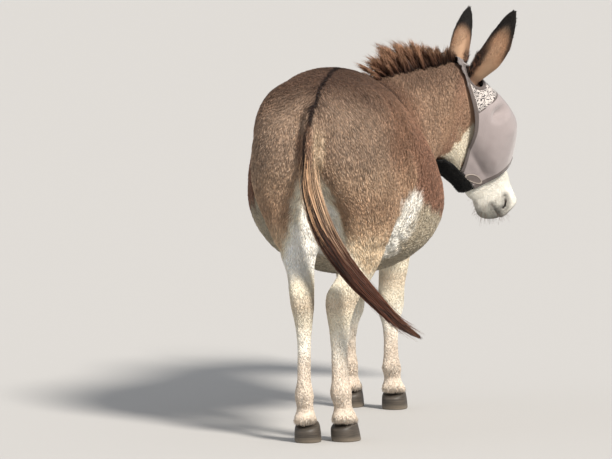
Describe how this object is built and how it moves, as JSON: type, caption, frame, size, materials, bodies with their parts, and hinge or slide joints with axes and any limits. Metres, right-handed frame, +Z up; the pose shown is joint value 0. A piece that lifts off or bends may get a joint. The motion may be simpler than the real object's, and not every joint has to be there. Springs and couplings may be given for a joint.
{
  "type": "donkey",
  "caption": "Still life-size model of a standing donkey looking back to its right, in a fly mask, with an upright mane and its tail swung aside.",
  "frame": {"origin": "on the floor, under the middle of the whole animal's box", "axes": "+Z up; -Y is the way the animal faces; -X is its right side, towards which the head is turned"},
  "size_m": [0.7016, 1.526, 1.2066],
  "materials": {
    "coat": "short soft fur, grey-brown with a reddish tint",
    "pale_coat": "very short cream fur",
    "hoof": "dull dark horn",
    "eye": "wet and glossy, dark brown",
    "long_hair": "coarse dark brown hair",
    "mask_mesh": "fine grey-lilac mesh",
    "mask_print": "white mesh with small dark scrolls",
    "mask_fleece": "black fleece"
  },
  "bodies": {
    "root": {"ear_left": "coat", "ear_right": "coat", "eye_left": "eye", "eye_right": "eye", "fly_mask": "mask_mesh", "fore_leg_left": "pale_coat", "fore_leg_right": "pale_coat", "head": "coat", "hind_leg_left": "pale_coat", "hind_leg_right": "pale_coat", "hoof_fore_left": "hoof", "hoof_fore_right": "hoof", "hoof_hind_left": "hoof", "hoof_hind_right": "hoof", "mane": "long_hair", "mask_crown": "mask_print", "mask_strap": "mask_fleece", "neck": "coat", "tail": "coat", "tail_switch": "long_hair", "trunk": "coat"}
  },
  "joints": []
}
